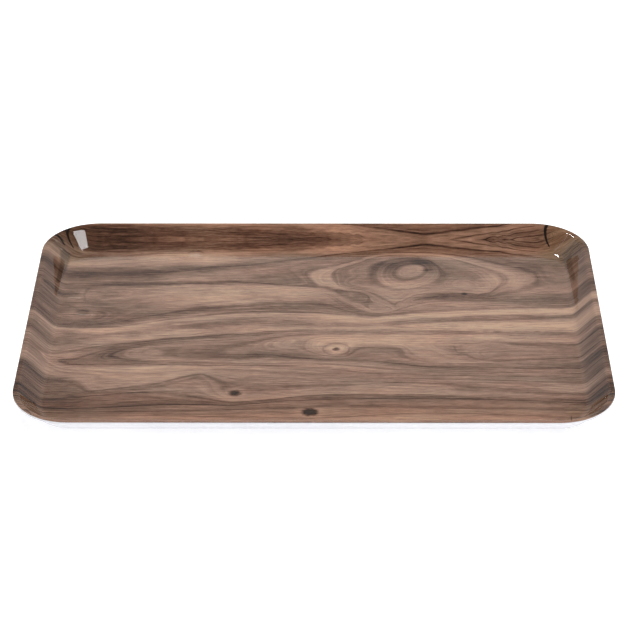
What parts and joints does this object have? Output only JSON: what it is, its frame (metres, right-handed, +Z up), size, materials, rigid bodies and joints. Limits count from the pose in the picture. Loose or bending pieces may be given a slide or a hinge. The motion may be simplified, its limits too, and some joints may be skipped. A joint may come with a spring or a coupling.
{
  "type": "serving tray",
  "caption": "Shallow rectangular melamine serving tray with flared walls, rounded corners, a walnut print under clear glaze and a white underside on a foot ring.",
  "frame": {"origin": "middle of the plane that the foot ring stands on", "axes": "+X along the tray's long side, +Y along its short side towards the far rim, +Z up out of the open side"},
  "size_m": [0.45, 0.3, 0.02],
  "materials": {
    "white_melamine": "gloss",
    "walnut_print": "satin",
    "clear_melamine": "polished"
  },
  "bodies": {
    "root": {"tray_moulding": "white_melamine", "decor_foil": "walnut_print", "clear_glaze": "clear_melamine"}
  },
  "joints": []
}
